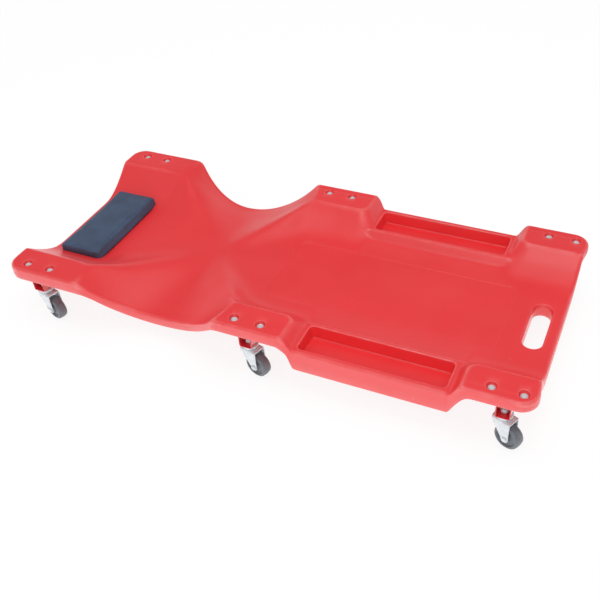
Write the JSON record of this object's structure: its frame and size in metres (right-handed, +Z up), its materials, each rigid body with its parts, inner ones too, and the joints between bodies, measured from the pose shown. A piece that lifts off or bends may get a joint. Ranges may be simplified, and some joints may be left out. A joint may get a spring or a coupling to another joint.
{
  "type": "mechanic creeper",
  "caption": "Low moulded lie-flat creeper deck with arm cut-outs, side tool trays, a hand slot and a padded headrest, on swivel casters.",
  "frame": {"origin": "on the floor under the centre of the deck", "axes": "+X along the deck towards the foot end, +Y towards the left side of a person lying on it, +Z up"},
  "size_m": [1.016, 0.468, 0.12],
  "materials": {
    "deck_plastic": "satin moulded polyethylene, faintly textured",
    "headrest_vinyl": "grained vinyl over foam",
    "headrest_board": "bare plywood",
    "bracket_paint": "gloss powder coat",
    "zinc": "bright zinc plate",
    "wheel_plastic": "hard moulded tread, satin"
  },
  "bodies": {
    "root": {"deck": "deck_plastic", "headrest_cushion": "headrest_vinyl", "headrest_board": "headrest_board", "headrest_screw_left": "zinc", "headrest_screw_right": "zinc", "head_left_bracket": "bracket_paint", "head_left_bolt_a": "zinc", "head_left_bolt_b": "zinc", "head_left_stem": "zinc", "head_left_stem_nut": "zinc", "head_left_race_cup": "zinc", "head_right_bracket": "bracket_paint", "head_right_bolt_a": "zinc", "head_right_bolt_b": "zinc", "head_right_stem": "zinc", "head_right_stem_nut": "zinc", "head_right_race_cup": "zinc", "middle_left_bracket": "bracket_paint", "middle_left_bolt_a": "zinc", "middle_left_bolt_b": "zinc", "middle_left_stem": "zinc", "middle_left_stem_nut": "zinc", "middle_left_race_cup": "zinc", "middle_right_bracket": "bracket_paint", "middle_right_bolt_a": "zinc", "middle_right_bolt_b": "zinc", "middle_right_stem": "zinc", "middle_right_stem_nut": "zinc", "middle_right_race_cup": "zinc", "foot_left_bracket": "bracket_paint", "foot_left_bolt_a": "zinc", "foot_left_bolt_b": "zinc", "foot_left_stem": "zinc", "foot_left_stem_nut": "zinc", "foot_left_race_cup": "zinc", "foot_right_bracket": "bracket_paint", "foot_right_bolt_a": "zinc", "foot_right_bolt_b": "zinc", "foot_right_stem": "zinc", "foot_right_stem_nut": "zinc", "foot_right_race_cup": "zinc"},
    "swivel_head_left": {"head_left_fork": "zinc", "head_left_axle": "zinc"},
    "wheel_head_left": {"head_left_wheel": "wheel_plastic"},
    "swivel_head_right": {"head_right_fork": "zinc", "head_right_axle": "zinc"},
    "wheel_head_right": {"head_right_wheel": "wheel_plastic"},
    "swivel_middle_left": {"middle_left_fork": "zinc", "middle_left_axle": "zinc"},
    "wheel_middle_left": {"middle_left_wheel": "wheel_plastic"},
    "swivel_middle_right": {"middle_right_fork": "zinc", "middle_right_axle": "zinc"},
    "wheel_middle_right": {"middle_right_wheel": "wheel_plastic"},
    "swivel_foot_left": {"foot_left_fork": "zinc", "foot_left_axle": "zinc"},
    "wheel_foot_left": {"foot_left_wheel": "wheel_plastic"},
    "swivel_foot_right": {"foot_right_fork": "zinc", "foot_right_axle": "zinc"},
    "wheel_foot_right": {"foot_right_wheel": "wheel_plastic"}
  },
  "joints": [
    {"name": "head_left_swivel", "type": "hinge", "parent": "root", "child": "swivel_head_left", "pos_m": [-0.4442, 0.2107, 0.06], "axis": [0, 0, 1], "continuous": true},
    {"name": "head_left_roll", "type": "hinge", "parent": "swivel_head_left", "child": "wheel_head_left", "pos_m": [-0.43081, 0.20661, 0.024], "axis": [0.2924, 0.9563, 0], "continuous": true},
    {"name": "head_right_swivel", "type": "hinge", "parent": "root", "child": "swivel_head_right", "pos_m": [-0.4442, -0.2107, 0.06], "axis": [0, 0, 1], "continuous": true},
    {"name": "head_right_roll", "type": "hinge", "parent": "swivel_head_right", "child": "wheel_head_right", "pos_m": [-0.43081, -0.21479, 0.024], "axis": [0.2924, 0.9563, 0], "continuous": true},
    {"name": "middle_left_swivel", "type": "hinge", "parent": "root", "child": "swivel_middle_left", "pos_m": [0.0043, 0.2107, 0.06], "axis": [0, 0, 1], "continuous": true},
    {"name": "middle_left_roll", "type": "hinge", "parent": "swivel_middle_left", "child": "wheel_middle_left", "pos_m": [0.01782, 0.20708, 0.024], "axis": [0.2588, 0.9659, 0], "continuous": true},
    {"name": "middle_right_swivel", "type": "hinge", "parent": "root", "child": "swivel_middle_right", "pos_m": [0.0043, -0.2107, 0.06], "axis": [0, 0, 1], "continuous": true},
    {"name": "middle_right_roll", "type": "hinge", "parent": "swivel_middle_right", "child": "wheel_middle_right", "pos_m": [0.01782, -0.21432, 0.024], "axis": [0.2588, 0.9659, 0], "continuous": true},
    {"name": "foot_left_swivel", "type": "hinge", "parent": "root", "child": "swivel_foot_left", "pos_m": [0.4587, 0.2107, 0.06], "axis": [0, 0, 1], "continuous": true},
    {"name": "foot_left_roll", "type": "hinge", "parent": "swivel_foot_left", "child": "wheel_foot_left", "pos_m": [0.47159, 0.20523, 0.024], "axis": [0.3907, 0.9205, 0], "continuous": true},
    {"name": "foot_right_swivel", "type": "hinge", "parent": "root", "child": "swivel_foot_right", "pos_m": [0.4587, -0.2107, 0.06], "axis": [0, 0, 1], "continuous": true},
    {"name": "foot_right_roll", "type": "hinge", "parent": "swivel_foot_right", "child": "wheel_foot_right", "pos_m": [0.47159, -0.21617, 0.024], "axis": [0.3907, 0.9205, 0], "continuous": true}
  ]
}
